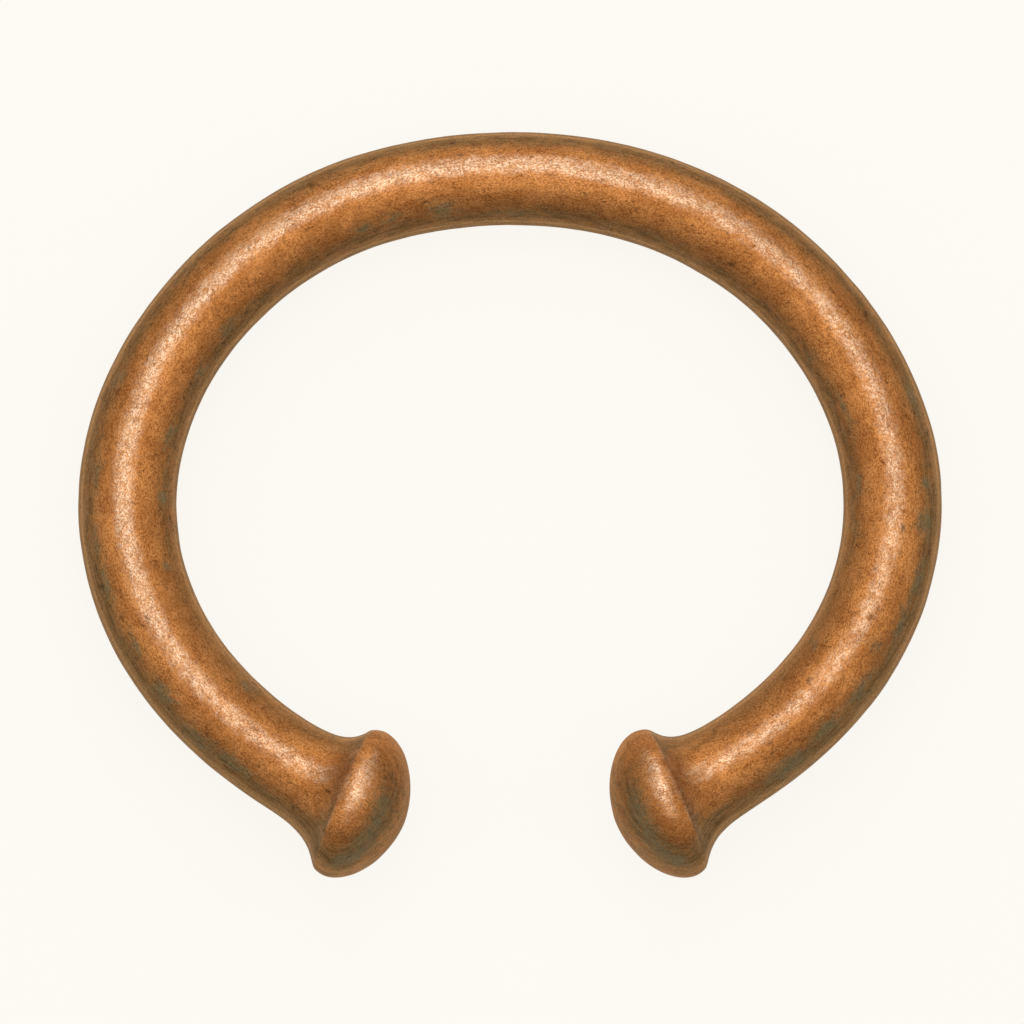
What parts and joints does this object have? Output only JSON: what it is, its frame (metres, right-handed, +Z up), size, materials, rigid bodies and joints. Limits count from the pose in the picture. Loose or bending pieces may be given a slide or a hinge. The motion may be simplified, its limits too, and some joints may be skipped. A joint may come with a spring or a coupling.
{
  "type": "manilla",
  "caption": "Open hoop of round cast copper bar whose ends flare like trumpets and close in low domes, once worn on the wrist and traded as money.",
  "frame": {"origin": "on the surface that the hoop lies on, under the middle of its box", "axes": "+X across the hoop's width, +Y towards the closed back of the bar, so that the mouth faces -Y, and +Z up"},
  "size_m": [0.07, 0.0604, 0.0126],
  "materials": {
    "copper": "worn cast copper with a fine pitted grain, brown patina on its flanks and thin green corrosion near the ends"
  },
  "bodies": {
    "root": {"manilla": "copper"}
  },
  "joints": []
}
